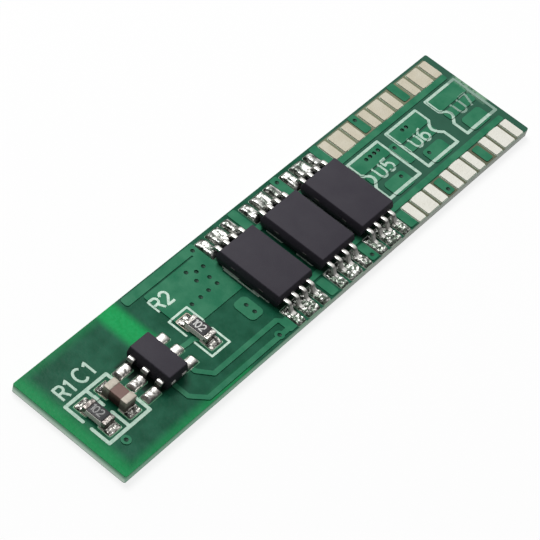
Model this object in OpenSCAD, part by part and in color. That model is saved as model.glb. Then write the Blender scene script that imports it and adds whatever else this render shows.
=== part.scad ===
// Battery management board for one lithium cell: a slim two-sided circuit board with a
// protection chip, three twin switching transistors, three bare spare places, two
// resistors and one capacitor.  Millimetres, +X along the board, +Z up.
// The origin is under the board's centre, in the plane of the battery pads.

/* [Board] */
// Distance from the board's left end to resistor 1
left_margin = 1.68; // [1.5:0.01:4]
// Distance from the last transistor place to the board's right end
right_margin = 1.88; // [1.7:0.01:4]
// Distance from the near lands to the board's near edge
near_margin = 0.04; // [0.02:0.01:1]
// Distance from the far lands to the board's far edge
far_margin = 0.28; // [0.2:0.01:1]
// Thickness of the glass-epoxy core
core_t = 0.5; // [0.3:0.05:1.5]
// Radius of the board's corners
corner_r = 0.12; // [0.1:0.02:0.8]

/* [Layers] */
// Thickness of the copper foil on each face
foil_t = 0.05; // [0.03:0.005:0.1]
// Distance that the foil keeps from the board's edge
foil_margin = 0.12; // [0.08:0.01:0.2]
// Thickness of the solder mask
mask_t = 0.025; // [0.015:0.005:0.05]
// Bare ring between a land and the solder mask
mask_gap = 0.05; // [0.03:0.01:0.08]
// Thickness of the tin on a bare land
tin_t = 0.03; // [0.02:0.005:0.06]
// Thickness of the legend ink
ink_t = 0.015; // [0.01:0.005:0.03]
// Width of the legend lines
ink_w = 0.2; // [0.1:0.01:0.25]

/* [Vias] */
// Diameter of the open hole of a via
via_d = 0.26; // [0.2:0.01:0.32]
// Wall of a via's plated barrel
barrel_t = 0.025; // [0.02:0.005:0.04]
// Width of the copper ring round a via
via_ring = 0.13; // [0.1:0.01:0.2]

/* [Transistors] */
// Distance from resistor 2 to the first transistor
r2_fet_x = 5.63; // [5.3:0.01:8]
// Distance from the first transistor to the second
first_pitch = 3.76; // [3.3:0.01:4.5]
// Distance between the places from the second transistor to the first bare place
fet_pitch = 3.54; // [3.3:0.01:4.5]
// Distance from the first bare place to the second
spare_pitch = 3.68; // [3.3:0.01:4.5]
// Distance from the second bare place to the last
last_pitch = 3.84; // [3.3:0.01:4.5]
// Length of a transistor body along Y
fet_l = 4.4; // [4.2:0.05:4.6]
// Width of a transistor body along X
fet_w = 3; // [2.8:0.05:3.1]
// Height of a transistor body
fet_h = 0.92; // [0.7:0.01:1.1]
// Clearance under a transistor body
fet_standoff = 0.08; // [0.05:0.01:0.15]
// Distance over the tips of opposite transistor leads
fet_span = 6.4; // [6.2:0.05:6.5]
// Distance between neighbouring transistor leads
fet_lead_pitch = 0.65; // [0.6:0.01:0.66]
// Width of a transistor lead
fet_lead_w = 0.25; // [0.18:0.01:0.3]
// Length of a transistor lead's flat foot
fet_foot_l = 0.38; // [0.34:0.01:0.45]
// Width of an outer transistor land
fet_land_w = 0.61; // [0.5:0.01:0.62]
// Length of a transistor land past the lead's tip
fet_toe = 0.49; // [0.3:0.01:0.6]
// Length of a transistor land behind the foot
fet_heel = 0.47; // [0.3:0.01:0.5]

/* [Protection chip] */
// Distance from the capacitor to the protection chip
c1_ic_x = 2.93; // [2.8:0.01:5]
// Distance from the protection chip to resistor 2
ic_r2_x = 3.48; // [3.2:0.01:6]
// Offset of the chip from the board's centre line
ic_y = -0.42; // [-0.6:0.01:0]
// Length of the chip body along Y
ic_l = 2.9; // [2.8:0.05:3.1]
// Width of the chip body along X
ic_w = 1.6; // [1.5:0.05:1.8]
// Height of the chip body
ic_h = 1.08; // [0.9:0.02:1.2]
// Clearance under the chip body
ic_standoff = 0.07; // [0.04:0.01:0.12]
// Distance over the tips of opposite chip leads
ic_span = 2.84; // [2.7:0.02:3]
// Distance between neighbouring chip leads
ic_lead_pitch = 0.98; // [0.9:0.01:1]
// Width of a chip lead
ic_lead_w = 0.4; // [0.3:0.01:0.45]
// Length of a chip lead's flat foot
ic_foot_l = 0.42; // [0.3:0.01:0.43]
// Length of a chip land past the lead's tip
ic_toe = 0.58; // [0.3:0.01:0.6]
// Length of a chip land behind the foot
ic_heel = 0.05; // [0.04:0.01:0.1]

/* [Leads and solder] */
// Thickness of the lead frame metal
lead_t = 0.15; // [0.1:0.01:0.18]
// Depth to which a lead is moulded into its body
embed = 0.3; // [0.2:0.05:0.5]
// Height of the solder at a lead's heel
solder_h = 0.24; // [0.2:0.01:0.3]

/* [Resistors and capacitor] */
// Distance from resistor 1 to the capacitor
r1_c1_x = 1.54; // [1.3:0.01:1.6]
// Offset of the three small parts from the centre line
rc_y = -0.44; // [-0.6:0.01:-0.2]
// Length of a small part along Y
chip_l = 1.6; // [1.5:0.01:1.7]
// Width of a small part along X
chip_w = 0.8; // [0.7:0.01:0.85]
// Height of a resistor
res_h = 0.45; // [0.35:0.01:0.55]
// Height of the capacitor
cap_h = 0.8; // [0.6:0.01:0.95]
// Length of a resistor's metal end cap
end_l = 0.3; // [0.2:0.01:0.4]
// Length of the capacitor's metal end cap
cap_end_l = 0.44; // [0.3:0.01:0.5]
// Thickness of a metal end cap
end_t = 0.03; // [0.02:0.01:0.05]
// Length of a land past the end of a small part
chip_toe = 0.45; // [0.3:0.01:0.5]
// Length of a land behind the end cap of a small part
chip_heel = 0.1; // [0.05:0.01:0.15]
// Width of a land under a small part
chip_land_w = 0.9; // [0.8:0.01:0.95]

/* [Battery pads] */
// Length of the cell plus pad on the underside
plus_pad_l = 4.2; // [3:0.1:4.7]
// Width of the cell plus pad
plus_pad_w = 4.2; // [3:0.1:4.7]
// Length of the output minus pad
out_pad_l = 4.6; // [3:0.1:5]
// Width of the output minus pad
out_pad_w = 3.2; // [2.8:0.1:3.6]
// Length of the cell minus pad
minus_pad_l = 4.2; // [3:0.1:4.7]
// Width of the cell minus pad
minus_pad_w = 5.6; // [4:0.1:6.6]
// Gap between the copper areas of the underside
area_gap = 0.3; // [0.2:0.05:0.5]

/* [Hidden] */

$fn = 32;
e = 0.01;                      // overshoot of a cutting tool
green = [0.13, 0.42, 0.27];
copper = [0.72, 0.45, 0.28];
tin = [0.85, 0.83, 0.78];
plastic = [0.2, 0.19, 0.21];
metal = [0.8, 0.8, 0.8];

// Levels, from the table up
z_core = foil_t + max(tin_t, mask_t);      // underside of the core
z_top = z_core + core_t;                   // upper side of the core
z_seat = z_top + foil_t;                   // top of the upper copper, where parts stand

// The board is as long as its row of parts, and is centred on the origin
fet_steps = [0, first_pitch, fet_pitch, fet_pitch, spare_pitch, last_pitch];
function steps_to(i) = i == 0 ? 0 : fet_steps[i] + steps_to(i - 1);
board_l = left_margin + r1_c1_x + c1_ic_x + ic_r2_x + r2_fet_x + steps_to(5) + right_margin;
left_x = -board_l / 2;
right_x = board_l / 2;
r1_x = left_x + left_margin;
c1_x = r1_x + r1_c1_x;
ic_x = c1_x + c1_ic_x;
r2_x = ic_x + ic_r2_x;

// The six transistor places: 0 to 2 hold a transistor, 3 to 5 are bare
function fet_x(i) = r2_x + r2_fet_x + steps_to(i);

// Lands of a transistor: the outer leads have one each, the two inner leads share one
wide_land_w = fet_lead_pitch + fet_lead_w + 0.1;
outer_land_x = 1.5 * fet_lead_pitch + 0.085;
land_r = 0.08;
fet_land_l = fet_foot_l + fet_toe + fet_heel;
fet_land_out = fet_span / 2 + fet_toe;             // outer end of a land
fet_land_mid = fet_land_out - fet_land_l / 2;      // its middle

// The board is as wide as the two rows of lands with their margins
board_w = 2 * fet_land_out + near_margin + far_margin;
far_y = board_w / 2;
near_y = -far_y;
fet_y = (near_margin - far_margin) / 2;

// Lands of the protection chip
ic_land_w = ic_lead_w + 0.2;
ic_land_l = ic_foot_l + ic_toe + ic_heel;
ic_land_mid = ic_span / 2 + ic_toe - ic_land_l / 2;

// Lands of the small parts
chip_land_l = end_l + chip_toe + chip_heel;
chip_land_mid = chip_l / 2 + chip_toe - chip_land_l / 2;

// ---------- flat shapes ----------

// A rectangle from corner a to corner b with round corners, grown by g
module plate(a, b, r, g = 0) {
    x0 = a[0] - g; y0 = a[1] - g; x1 = b[0] + g; y1 = b[1] + g; q = r + g;
    translate([x0 + q, y0]) square([x1 - x0 - 2 * q, y1 - y0]);
    translate([x0, y0 + q]) square([x1 - x0, y1 - y0 - 2 * q]);
    for (x = [x0 + q, x1 - q], y = [y0 + q, y1 - q]) translate([x, y]) circle(q);
}

// A plate given by its middle and its size
module pad(c, size, g = 0) {
    plate(c - size / 2, c + size / 2, land_r, g);
}

// A line of width w through the points, with round joints and, if asked, round ends
module stroke(points, w, round_ends = true) {
    n = len(points);
    for (i = [0 : n - 2]) {
        d = points[i + 1] - points[i];
        translate(points[i]) rotate(atan2(d[1], d[0]))
            translate([0, -w / 2]) square([norm(d), w]);
    }
    for (i = [round_ends ? 0 : 1 : round_ends ? n - 1 : n - 2])
        translate(points[i]) circle(d = w);
}

module board_outline(g = 0) {
    plate([left_x, near_y], [right_x, far_y], corner_r, g);
}

// ---------- upper copper ----------

module fet_lands(i, g = 0) {
    for (side = [-1, 1]) {
        y = fet_y + side * fet_land_mid;
        pad([fet_x(i), y], [wide_land_w, fet_land_l], g);
        for (s = [-1, 1])
            pad([fet_x(i) + s * outer_land_x, y], [fet_land_w, fet_land_l], g);
    }
}

module ic_lands(g = 0) {
    for (side = [-1, 1], k = [-1 : 1])
        pad([ic_x + side * ic_land_mid, ic_y + k * ic_lead_pitch],
            [ic_land_l, ic_land_w], g);
}

module chip_lands(x, g = 0) {
    for (side = [-1, 1])
        pad([x, rc_y + side * chip_land_mid], [chip_land_w, chip_land_l], g);
}

module lands_flat(g = 0) {
    for (i = [0 : 5]) fet_lands(i, g);
    ic_lands(g);
    for (x = [r1_x, c1_x, r2_x]) chip_lands(x, g);
}

// Broad copper areas, kept off the board's edge
pour_top = far_y - foil_margin;
pour_low = near_y + foil_margin;
pour_gap = 0.16;               // gap between neighbouring areas
strip_w = 0.53;                // width of the strip along the far edge
output_left = r2_x - 0.48;
output_right = fet_x(0) - 1.65;
output_low = -0.06;
bus_far = fet_y + fet_land_mid - fet_land_l / 2;   // inner ends of the far lands
bus_near = fet_y - fet_land_mid + fet_land_l / 2;  // inner ends of the near lands
bus_w = 0.42;                  // the buses that join the wide lands reach this far in
bus_gap = 0.08;                // gap from a bus to the lands beside it
neck_half = 0.3;               // half the width of a neck from a bus to its land
between_half = 0.28;           // half the width of the copper between two land groups

module transistor_pours(x, g) {
    // necks from the buses to the wide lands
    plate([x - neck_half, bus_far - 0.2], [x + neck_half, bus_far + 0.3], 0.05, g);
    plate([x - neck_half, bus_near - 0.3], [x + neck_half, bus_near + 0.2], 0.05, g);
    // drain areas under the body
    plate([x - 1.25, 0.45], [x + 1.45, 1.5], 0.15, g);
    plate([x - 1.2, -0.35], [x + 1.3, 0.25], 0.15, g);
    plate([x - 0.8, -1.82], [x + 0.9, -0.75], 0.25, g);
}

module pours_flat(g = 0) {
    // output area left of the transistors, the strip above it and their joint
    plate([output_left, output_low], [output_right, pour_top - strip_w - pour_gap], 0.1, g);
    plate([ic_x + 1.9, pour_top - strip_w], [output_right + 0.2, pour_top], 0.15, g);
    plate([output_right - 0.35, 1.4], [output_right + 0.2, pour_top], 0.15, g);
    // copper beside the first transistor's gate land
    plate([output_right - 0.35, pour_low], [fet_x(0) - outer_land_x, bus_near - 0.45], 0.1, g);
    // one bus beside each row of lands
    plate([fet_x(0) - 1.5, bus_far - bus_w], [fet_x(5) + 1.3, bus_far - bus_gap], 0.1, g);
    plate([fet_x(0) - 1.2, bus_near + bus_gap], [fet_x(5) + 1.3, bus_near + bus_w], 0.1, g);
    for (i = [0 : 5]) transistor_pours(fet_x(i), g);
    // copper between the land groups, at both edges
    for (i = [0 : 4]) {
        mid = (fet_x(i) + fet_x(i + 1)) / 2;
        plate([mid - between_half, bus_far + 0.12], [mid + between_half, pour_top], 0.1, g);
        plate([mid - between_half, pour_low], [mid + between_half, bus_near - 0.12], 0.1, g);
    }
    // link between the first two bare places
    plate([link_x - 0.25, -0.8], [link_x + 0.25, 0.8], 0.1, g);
}

// Conductors of the signal lines
trace_w = 0.25;
gate_y = bus_near - 0.26;      // line of the near gate trace
edge_y = near_y + 0.32;        // line of the trace along the near edge
ic_right = ic_x + ic_land_mid;
ic_left = ic_x - ic_land_mid;
trace_1 = [[ic_right - 0.1, ic_y - ic_lead_pitch], [ic_right - 0.1, -1.95],
    [ic_x + 2.0, gate_y], [output_right - 0.35, gate_y], [output_right, gate_y - 0.4]];
trace_2 = [[ic_right, ic_y + ic_lead_pitch], [ic_x - 0.1, ic_y + ic_lead_pitch],
    [ic_x - 0.1, -2.75], [ic_x + 0.62, edge_y], [output_right - 0.2, edge_y]];
trace_3 = [[ic_right, ic_y], [ic_x + 2.4, ic_y - 0.1], [r2_x - 0.6, ic_y - 0.1],
    [r2_x, rc_y - chip_land_mid]];
trace_4 = [[ic_left, ic_y], [c1_x, rc_y - chip_land_mid]];
trace_5 = [[ic_left, ic_y + ic_lead_pitch], [c1_x, rc_y + chip_land_mid],
    [r1_x, rc_y + chip_land_mid]];

module traces_flat(g = 0) {
    for (t = [trace_1, trace_2, trace_3, trace_4, trace_5]) stroke(t, trace_w + 2 * g);
    // island with two vias, and the rings of the vias that stand alone
    plate([fet_x(0) - 2.99, -1.93], [fet_x(0) - 1.99, -0.48], 0.3, g);
    for (p = loose_vias) translate(p) circle(via_d / 2 + via_ring + g);
}

// ---------- vias ----------

// Vias of the output area and of the island below it, from the first transistor
output_vias = [for (p = [[-3.17, 2.61], [-2.7, 2.28], [-2.14, 2.28], [-3.17, 1.87],
    [-2.45, 1.57], [-4.56, 1], [-3.84, 1], [-3.17, 1.02], [-2.46, 1.02], [-1.76, 3.36],
    [-2.41, -0.98], [-2.41, -1.57]]) [fet_x(0) + p[0], p[1]]];
// Vias that stand alone, each with its own ring
loose_vias = [[r1_x, rc_y - chip_land_mid - 1.1],
    [fet_x(0) - 2.62, pour_low + via_d / 2 + via_ring]];
// Vias in the drain areas, in the link and between the land groups
drain_vias = [for (i = [3, 4], x = i == 3 ? [-0.04, 0.33, 0.7, 1.06] : [-0.28, 0.08])
    [fet_x(i) + x, 1.07]];
lower_vias = [[fet_x(3) + 0.51, -1.04], [fet_x(4) - 0.46, -1.04]];
link_x = (fet_x(3) + fet_x(4)) / 2 + 0.1;
gate_vias = [for (i = [1, 3], y = [fet_y - fet_land_mid - 0.3, fet_y + fet_land_mid + 0.48])
    [(fet_x(i) + fet_x(i + 1)) / 2, y]];
vias = concat(output_vias, loose_vias, drain_vias, lower_vias, gate_vias, [[link_x, 0.53]]);

module via_holes(d) {
    for (p = vias) translate(p) circle(d = d);
}

// ---------- lower copper ----------

plus_x0 = left_x + 0.8;
plus_x1 = ic_x + 0.1;
out_x0 = ic_x + 1.5;
out_x1 = fet_x(0) - 1.55;
minus_x1 = right_x - foil_margin;
low_near = near_y + 0.35;
low_far = far_y - 0.4;
low_split = -1.55;             // the return strip lies below this line
out_split = -0.35;

// Cell plus and output minus have an area each, and cell minus takes the right half
// and a return strip along the near edge
module lower_areas(g = 0) {
    plate([plus_x0, low_split + area_gap / 2], [plus_x1, low_far], 0.3, g);
    plate([out_x0, out_split + area_gap / 2], [out_x1, pour_top], 0.3, g);
    plate([out_x1 + area_gap, pour_low], [minus_x1, pour_top], 0.3, g);
    plate([out_x0, low_near], [out_x1 + 2 * area_gap, out_split - area_gap / 2], 0.3, g);
    plate([plus_x0, low_near], [out_x0 + area_gap, low_split - area_gap / 2], 0.3, g);
    for (p = vias) translate(p) circle(via_d / 2 + via_ring + g);
}

// The three tinned pads, each [middle, size]
plus_pad = [[(plus_x0 + plus_x1) / 2 - 0.2, (low_split + low_far) / 2 + 0.05],
    [plus_pad_l, plus_pad_w]];
out_pad = [[out_x1 - 0.25 - out_pad_l / 2, (out_split + pour_top) / 2 + 0.05],
    [out_pad_l, out_pad_w]];
minus_pad = [[minus_x1 - 0.4 - minus_pad_l / 2, 0], [minus_pad_l, minus_pad_w]];

module battery_pad(p, g = 0) {
    plate(p[0] - p[1] / 2, p[0] + p[1] / 2, 0.35, g);
}

// ---------- the board's layers ----------

module core() {
    color([0.72, 0.74, 0.62]) translate([0, 0, z_core]) linear_extrude(core_t)
        difference() {
            board_outline();
            via_holes(via_d + 2 * barrel_t);
        }
}

// Each barrel goes through the core and both foils
module via_barrels() {
    color(copper) translate([0, 0, z_core - foil_t]) linear_extrude(core_t + 2 * foil_t)
        difference() {
            via_holes(via_d + 2 * barrel_t);
            via_holes(via_d);
        }
}

module upper_foil() {
    color(copper) translate([0, 0, z_top]) linear_extrude(foil_t) difference() {
        children();
        via_holes(via_d + 2 * barrel_t);
    }
}

module top_lands() { upper_foil() lands_flat(); }

module top_pours() {
    upper_foil() difference() {
        pours_flat();
        lands_flat();
    }
}

module top_traces() {
    upper_foil() difference() {
        traces_flat();
        lands_flat();
        pours_flat();
    }
}

// All the copper that stands up from the core under the mask
module relief_flat(g = 0) {
    intersection() {
        board_outline();
        union() {
            pours_flat(g);
            traces_flat(g);
            lands_flat(g);
        }
    }
}

// A skin of thickness t that follows the relief, with its lower side at height z
module skin(t, z, g) {
    difference() {
        union() {
            translate([0, 0, z]) linear_extrude(t) children();
            translate([0, 0, z]) linear_extrude(t + foil_t) intersection() {
                children();
                relief_flat(g + t);
            }
        }
        translate([0, 0, z - e]) linear_extrude(foil_t + e) relief_flat(g);
    }
}

module mask_flat() {
    difference() {
        board_outline();
        lands_flat(mask_gap);
        via_holes(via_d);
    }
}

module top_mask() {
    color(green) skin(mask_t, z_top, 0) mask_flat();
}

module bottom_copper() {
    color(copper) translate([0, 0, z_core - foil_t]) linear_extrude(foil_t) difference() {
        lower_areas();
        via_holes(via_d + 2 * barrel_t);
    }
}

module bottom_mask() {
    color(green) difference() {
        union() {
            translate([0, 0, z_core - mask_t]) linear_extrude(mask_t) board_outline();
            translate([0, 0, z_core - foil_t - mask_t]) linear_extrude(foil_t + mask_t)
                intersection() {
                    board_outline();
                    lower_areas(mask_t);
                }
        }
        translate([0, 0, z_core - foil_t]) linear_extrude(foil_t + e) lower_areas();
        translate([0, 0, -e]) linear_extrude(z_core + 2 * e) {
            for (p = [plus_pad, out_pad, minus_pad]) battery_pad(p, mask_gap);
            via_holes(via_d);
        }
    }
}

module battery_tin(p) {
    color(tin) translate([0, 0, z_core - foil_t - tin_t]) linear_extrude(tin_t)
        difference() {
            battery_pad(p);
            via_holes(via_d);
        }
}

module spare_tin(i) {
    color(tin) translate([0, 0, z_seat]) linear_extrude(tin_t) fet_lands(i + 2);
}

// ---------- legend ----------

outline_w = 2.84;              // the printed frame of a transistor place
outline_h = 3.14;
outline_dx = 0.14;
outline_y = fet_y + 0.06;
notch_h = 0.58;
notch_d = 0.47;

// Frame of a transistor place, with its notch on the side given by s
module fet_outline(i, s) {
    x = fet_x(i) + outline_dx;
    w = outline_w / 2;
    h = outline_h / 2;
    y = outline_y;
    stroke([[x + s * w, y + notch_h], [x + s * w, y + h], [x - s * w, y + h],
        [x - s * w, y - h], [x + s * w, y - h], [x + s * w, y - notch_h],
        [x + s * (w - 0.85 * notch_d), y - 0.2], [x + s * (w - notch_d), y],
        [x + s * (w - 0.85 * notch_d), y + 0.2], [x + s * w, y + notch_h]], ink_w);
}

// Frame of width w round a small part, open at half height on both sides
frame_h = 3;
frame_gap = 0.3;
fine_ink_w = 0.65 * ink_w;     // line of the frame that stands alone
module chip_frame(x, w, line) {
    for (side = [-1, 1])
        stroke([[x - w / 2, rc_y + side * frame_gap], [x - w / 2, rc_y + side * frame_h / 2],
            [x + w / 2, rc_y + side * frame_h / 2], [x + w / 2, rc_y + side * frame_gap]],
            line);
}

module legend_flat() {
    intersection() {
        difference() {
            union() {
                for (i = [0 : 5]) fet_outline(i, i == 4 ? 1 : -1);
                for (x = [r1_x, c1_x]) chip_frame(x, r1_c1_x, ink_w);
                chip_frame(r2_x, chip_land_w + 0.52, fine_ink_w);
            }
            lands_flat(mask_gap);
            via_holes(via_d);
        }
        board_outline();
    }
}

module legend() {
    color([0.8, 0.92, 0.85]) skin(ink_t, z_top + mask_t, mask_t) legend_flat();
}

// ---------- moulded bodies and bent leads ----------

// Six-sided section of a moulded body: half width w, from z0 up by h, leaning in by d
function section(w, z0, h, d) = [[-w + d, z0], [w - d, z0], [w, z0 + h / 2],
    [w - d, z0 + h], [-w + d, z0 + h], [-w, z0 + h / 2]];

module moulded_body(w, l, h, standoff, d) {
    intersection() {
        rotate([90, 0, 0]) linear_extrude(l, center = true)
            polygon(section(w / 2, standoff, h, d));
        rotate([90, 0, 90]) linear_extrude(w, center = true)
            polygon(section(l / 2, standoff, h, d));
    }
}

// A gull-wing lead that leaves the body at u = half_body and ends at u = half_span,
// drawn along +X, with its flat foot of length foot on the seating plane
module gull_lead(half_body, half_span, foot, z, w) {
    heel = half_span - foot;
    shoulder = (heel - half_body) * 0.62;
    rotate([90, 0, 0]) linear_extrude(w, center = true)
        stroke([[half_body - embed, z], [half_body + shoulder, z],
            [heel, lead_t / 2], [half_span, lead_t / 2]], lead_t, false);
}

// Solder on one land: a low heap that climbs the heel and thins out past the toe
module solder_heap(u0, u1, half_span, foot, w) {
    heel = half_span - foot;
    rotate([90, 0, 0]) linear_extrude(w, center = true)
        polygon([[u0, 0], [u0, 0.03], [heel - 0.1, solder_h], [heel + 0.12, solder_h],
            [half_span + 0.03, lead_t + 0.03], [u1, 0.06], [u1, 0]]);
}

fet_draft = 0.11;
fet_lead_z = fet_standoff + fet_h / 2;
module fet_row_leads(side) {
    for (k = [-1.5 : 1.5]) translate([k * fet_lead_pitch, 0, 0])
        rotate(side * 90) gull_lead(fet_l / 2, fet_span / 2, fet_foot_l, fet_lead_z, fet_lead_w);
}

tie_w = 0.3;
tie_y = 0.98;                  // place of the two tie bars at each end of a body
tie_proud = 0.03;
module fet_ties() {
    for (x = [-1, 1], y = [-tie_y, tie_y])
        translate([x * (fet_w / 2 + tie_proud - embed / 2), y, fet_lead_z])
            cube([embed, tie_w, lead_t], center = true);
}

module at_fet(i) {
    translate([fet_x(i), fet_y, z_seat]) children();
}

module fet_body(i) {
    color(plastic) at_fet(i - 1) difference() {
        moulded_body(fet_w, fet_l, fet_h, fet_standoff, fet_draft);
        for (side = [-1, 1]) fet_row_leads(side);
        fet_ties();
    }
}

module fet_leads(i, side) {
    color(metal) at_fet(i - 1) fet_row_leads(side);
}

module fet_tie_bars(i) {
    color(metal) at_fet(i - 1) fet_ties();
}

module fet_solder(i, side) {
    inner = fet_land_mid - fet_land_l / 2 + 0.02;
    outer = fet_land_mid + fet_land_l / 2 - 0.02;
    color(tin) at_fet(i - 1) difference() {
        for (land = [[-outer_land_x, fet_land_w], [0, wide_land_w], [outer_land_x, fet_land_w]])
            translate([land[0], 0, 0]) rotate(side * 90)
                solder_heap(inner, outer, fet_span / 2, fet_foot_l, land[1] - 0.04);
        fet_row_leads(side);
    }
}

ic_draft = 0.08;
ic_lead_z = ic_standoff + ic_h / 2;
module ic_lead(n) {
    side = n <= 3 ? -1 : 1;
    k = (n - 1) % 3 - 1;
    translate([0, k * ic_lead_pitch, 0]) rotate(side > 0 ? 0 : 180)
        gull_lead(ic_w / 2, ic_span / 2, ic_foot_l, ic_lead_z, ic_lead_w);
}

module ic_ties() {
    for (x = [-0.42, 0.42], s = [-1, 1])
        translate([x, s * (ic_l / 2 + tie_proud - embed / 2), ic_lead_z])
            cube([tie_w, embed, lead_t], center = true);
}

module at_ic() {
    translate([ic_x, ic_y, z_seat]) children();
}

module chip_body() {
    color(plastic) at_ic() difference() {
        moulded_body(ic_w, ic_l, ic_h, ic_standoff, ic_draft);
        for (n = [1 : 6]) ic_lead(n);
        ic_ties();
    }
}

module chip_lead(n) {
    color(metal) at_ic() ic_lead(n);
}

module chip_tie_bars() {
    color(metal) at_ic() ic_ties();
}

module chip_solder() {
    inner = ic_land_mid - ic_land_l / 2 + 0.02;
    outer = ic_land_mid + ic_land_l / 2 - 0.02;
    color(tin) at_ic() difference() {
        for (turn = [0, 180], k = [-1 : 1])
            translate([0, k * ic_lead_pitch, 0]) rotate(turn)
                solder_heap(inner, outer, ic_span / 2, ic_foot_l, ic_land_w - 0.04);
        for (n = [1 : 6]) ic_lead(n);
    }
}

// ---------- resistors and capacitor ----------

module at_chip(x) {
    translate([x, rc_y, z_seat]) children();
}

// Block of a small part, without its ends' plating
module chip_block(h) {
    translate([-chip_w / 2, -chip_l / 2 + end_t, end_t])
        cube([chip_w, chip_l - 2 * end_t, h - 2 * end_t]);
}

// Plated ends of a resistor: each wraps round the end, over the top and underneath
module resistor_ends(x) {
    color(metal) at_chip(x) difference() {
        for (side = [-1, 1])
            translate([-chip_w / 2, side > 0 ? chip_l / 2 - end_l : -chip_l / 2, 0])
                cube([chip_w, end_l, res_h]);
        chip_block(res_h);
    }
}

module resistor_base(x) {
    color([0.9, 0.89, 0.85]) at_chip(x) chip_block(res_h);
}

// Glaze over the resistive film, between the two ends
module resistor_glaze(x) {
    w = chip_w - 0.06;
    l = chip_l - 2 * end_l;
    color([0.12, 0.12, 0.13]) at_chip(x)
        translate([-w / 2, -l / 2, res_h - end_t]) cube([w, l, end_t]);
}

// The capacitor's ends cover all five faces, so its block is narrower inside them
module capacitor_block() {
    translate([-chip_w / 2 + end_t, -chip_l / 2 + end_t, end_t])
        cube([chip_w - 2 * end_t, chip_l - 2 * end_t, cap_h - 2 * end_t]);
}

module capacitor_body() {
    color([0.5, 0.38, 0.34]) at_chip(c1_x) capacitor_block();
}

module capacitor_ends() {
    color(metal) at_chip(c1_x) difference() {
        for (side = [-1, 1])
            translate([-chip_w / 2, side > 0 ? chip_l / 2 - cap_end_l : -chip_l / 2, 0])
                cube([chip_w, cap_end_l, cap_h]);
        capacitor_block();
    }
}

// Solder fillets against the two ends of a small part
module end_solder(x, h) {
    land_end = chip_land_mid + chip_land_l / 2 - 0.03;
    color(tin) at_chip(x) for (side = [-1, 1]) rotate(side * 90)
        rotate([90, 0, 0]) linear_extrude(chip_w, center = true)
            polygon([[chip_l / 2, 0], [chip_l / 2, h], [chip_l / 2 + 0.08, 0.4 * h],
                [land_end, 0.04], [land_end, 0]]);
}

// ---------- one line for each node ----------

core();
via_barrels();
top_pours();
top_traces();
top_lands();
top_mask();
bottom_copper();
bottom_mask();
battery_tin(plus_pad);  // cell_plus_tin
battery_tin(out_pad);  // output_minus_tin
battery_tin(minus_pad);  // cell_minus_tin
legend();
spare_tin(1);  // spare_tin_1
spare_tin(2);  // spare_tin_2
spare_tin(3);  // spare_tin_3
chip_body();
chip_lead(1);  // chip_lead_1
chip_lead(2);  // chip_lead_2
chip_lead(3);  // chip_lead_3
chip_lead(4);  // chip_lead_4
chip_lead(5);  // chip_lead_5
chip_lead(6);  // chip_lead_6
chip_tie_bars();
chip_solder();
fet_body(1);  // fet_body_1
fet_body(2);  // fet_body_2
fet_body(3);  // fet_body_3
fet_leads(1, -1);  // fet_near_leads_1
fet_leads(2, -1);  // fet_near_leads_2
fet_leads(3, -1);  // fet_near_leads_3
fet_leads(1, 1);  // fet_far_leads_1
fet_leads(2, 1);  // fet_far_leads_2
fet_leads(3, 1);  // fet_far_leads_3
fet_tie_bars(1);  // fet_tie_bars_1
fet_tie_bars(2);  // fet_tie_bars_2
fet_tie_bars(3);  // fet_tie_bars_3
fet_solder(1, -1);  // fet_near_solder_1
fet_solder(2, -1);  // fet_near_solder_2
fet_solder(3, -1);  // fet_near_solder_3
fet_solder(1, 1);  // fet_far_solder_1
fet_solder(2, 1);  // fet_far_solder_2
fet_solder(3, 1);  // fet_far_solder_3
resistor_base(r1_x);  // resistor_1_base
resistor_ends(r1_x);  // resistor_1_ends
resistor_glaze(r1_x);  // resistor_1_glaze
end_solder(r1_x, 0.5 * res_h);  // resistor_1_solder
resistor_base(r2_x);  // resistor_2_base
resistor_ends(r2_x);  // resistor_2_ends
resistor_glaze(r2_x);  // resistor_2_glaze
end_solder(r2_x, 0.5 * res_h);  // resistor_2_solder
capacitor_body();
capacitor_ends();
end_solder(c1_x, 0.4 * cap_h);  // capacitor_solder
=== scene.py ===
# %% [markdown]
# # A slim battery protection board
# The real object is a strip of glass-epoxy board under green solder mask. It carries
# three twin transistors, a six-lead control chip, two resistors and a capacitor, and three
# bare transistor places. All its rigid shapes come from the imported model, which is loaded
# first and never changed. This script adds the finishes, the solder, the rounded bodies
# and leads, and the printed lettering.

# %% Load the fixed frame
import math

import bpy
from mathutils import Matrix, Vector, noise


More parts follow.
